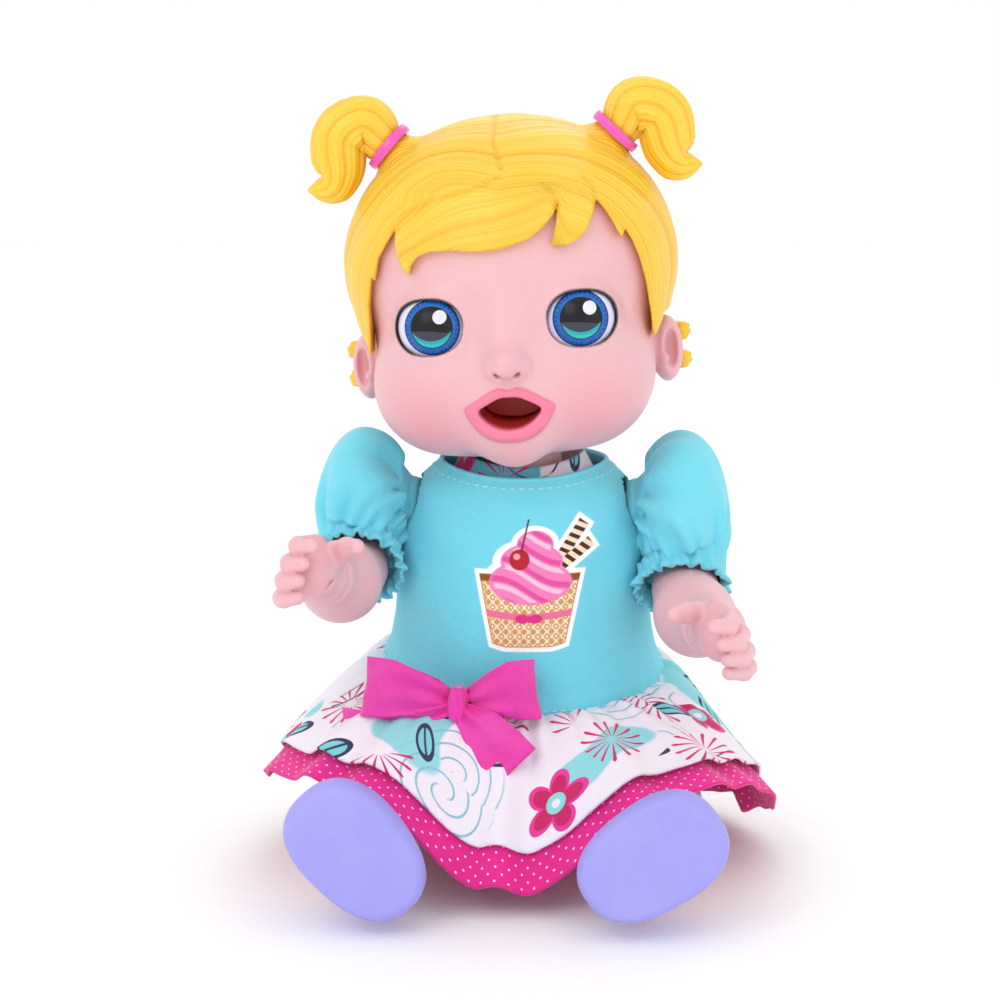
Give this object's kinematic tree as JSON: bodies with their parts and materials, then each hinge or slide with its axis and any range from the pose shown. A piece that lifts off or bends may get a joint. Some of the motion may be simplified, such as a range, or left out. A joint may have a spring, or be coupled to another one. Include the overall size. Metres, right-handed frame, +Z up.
{
  "type": "interactive baby doll",
  "caption": "Seated vinyl baby doll with swivelling head, jointed arms and legs, feeding mouth, sound module, and a sewn dress with puff sleeves and a ruffled skirt.",
  "frame": {"origin": "centre of the torso's flat seat, on the surface the doll sits on", "axes": "+Z up, the doll faces -Y, +X to the doll's left"},
  "size_m": [0.1604, 0.1653, 0.2527],
  "materials": {
    "skin_vinyl": "soft satin vinyl",
    "body_plastic": "smooth moulded plastic",
    "hair_vinyl": "satin moulded vinyl with fine grooves",
    "tie_plastic": "glossy painted vinyl",
    "eye_plastic": "printed and clear lacquered",
    "mouth_plastic": "satin",
    "knit": "fine cotton jersey",
    "print": "printed cotton",
    "petticoat_cotton": "woven cotton with small dots",
    "ribbon": "ribbed satin ribbon",
    "hook_tape": "hook and loop tape",
    "shoe_vinyl": "satin moulded vinyl",
    "white_plastic": "moulded",
    "black_plastic": "moulded",
    "cell_wrap": "printed wrap",
    "spring_steel": "plated wire and sheet",
    "board": "solder mask",
    "cone_paper": "treated paper"
  },
  "bodies": {
    "torso": {"torso_front": "body_plastic", "torso_back": "body_plastic", "battery_door": "body_plastic", "dress_bodice": "knit", "floral_collar": "print", "ruffle_skirt": "print", "petticoat": "petticoat_cotton", "waist_bow": "ribbon", "closure_hook_strip": "hook_tape", "closure_loop_strip": "hook_tape", "neck_post": "white_plastic", "button_bracket": "white_plastic", "battery_case": "black_plastic", "sound_chip": "black_plastic", "button_switch": "black_plastic", "switch_case": "black_plastic", "battery_cell_1": "cell_wrap", "battery_cell_2": "cell_wrap", "battery_cell_3": "cell_wrap", "battery_spring_1": "spring_steel", "battery_spring_2": "spring_steel", "battery_spring_3": "spring_steel", "battery_contact_1": "spring_steel", "battery_contact_2": "spring_steel", "battery_contact_3": "spring_steel", "torso_screw_1": "spring_steel", "torso_screw_2": "spring_steel", "torso_screw_3": "spring_steel", "torso_screw_4": "spring_steel", "battery_door_screw": "spring_steel", "button_spring": "spring_steel", "speaker_frame": "spring_steel", "speaker_magnet": "spring_steel", "circuit_board": "board", "speaker_cone": "cone_paper"},
    "head": {"head_shell": "skin_vinyl", "hair_cap": "hair_vinyl", "pigtail_left": "hair_vinyl", "pigtail_right": "hair_vinyl", "hair_tie_left": "tie_plastic", "hair_tie_right": "tie_plastic", "eye_left": "eye_plastic", "eye_right": "eye_plastic", "mouth_cup": "mouth_plastic", "mouth_spring": "spring_steel", "mouth_switch": "black_plastic"},
    "feeding_trigger": {"mouth_trigger": "mouth_plastic"},
    "tummy_press": {"tummy_button": "body_plastic"},
    "switch_slider": {"power_switch": "white_plastic"},
    "arm_left": {"arm_left": "skin_vinyl", "sleeve_left": "knit"},
    "arm_right": {"arm_right": "skin_vinyl", "sleeve_right": "knit"},
    "leg_left": {"leg_left": "skin_vinyl", "shoe_left": "shoe_vinyl"},
    "leg_right": {"leg_right": "skin_vinyl", "shoe_right": "shoe_vinyl"}
  },
  "joints": [
    {"name": "neck_swivel", "type": "hinge", "parent": "torso", "child": "head", "pos_m": [0, 0, 0.13], "axis": [-0.0698, 0, 0.9976], "range_deg": [-50, 50]},
    {"name": "shoulder_left", "type": "hinge", "parent": "torso", "child": "arm_left", "pos_m": [0.043, 0, 0.112], "axis": [1, 0, 0], "range_deg": [-85, 13]},
    {"name": "shoulder_right", "type": "hinge", "parent": "torso", "child": "arm_right", "pos_m": [-0.043, 0, 0.112], "axis": [1, 0, 0], "range_deg": [-55, 28]},
    {"name": "hip_left", "type": "hinge", "parent": "torso", "child": "leg_left", "pos_m": [0.0455, 0, 0.02], "axis": [1, 0, 0], "range_deg": [0, 85]},
    {"name": "hip_right", "type": "hinge", "parent": "torso", "child": "leg_right", "pos_m": [-0.0455, 0, 0.02], "axis": [1, 0, 0], "range_deg": [0, 85]},
    {"name": "tummy_press", "type": "slide", "parent": "torso", "child": "tummy_press", "axis": [0, 1, 0], "range_m": [0, 0.002], "stiffness_N_per_m": 400, "springref_m": -0.001, "deforming": ["button_spring"]},
    {"name": "feeding_press", "type": "slide", "parent": "head", "child": "feeding_trigger", "axis": [0, 1, 0], "range_m": [0, 0.002], "stiffness_N_per_m": 300, "springref_m": -0.001, "deforming": ["mouth_spring"]},
    {"name": "power_slide", "type": "slide", "parent": "torso", "child": "switch_slider", "axis": [0, 0, 1], "range_m": [0, 0.004]}
  ]
}
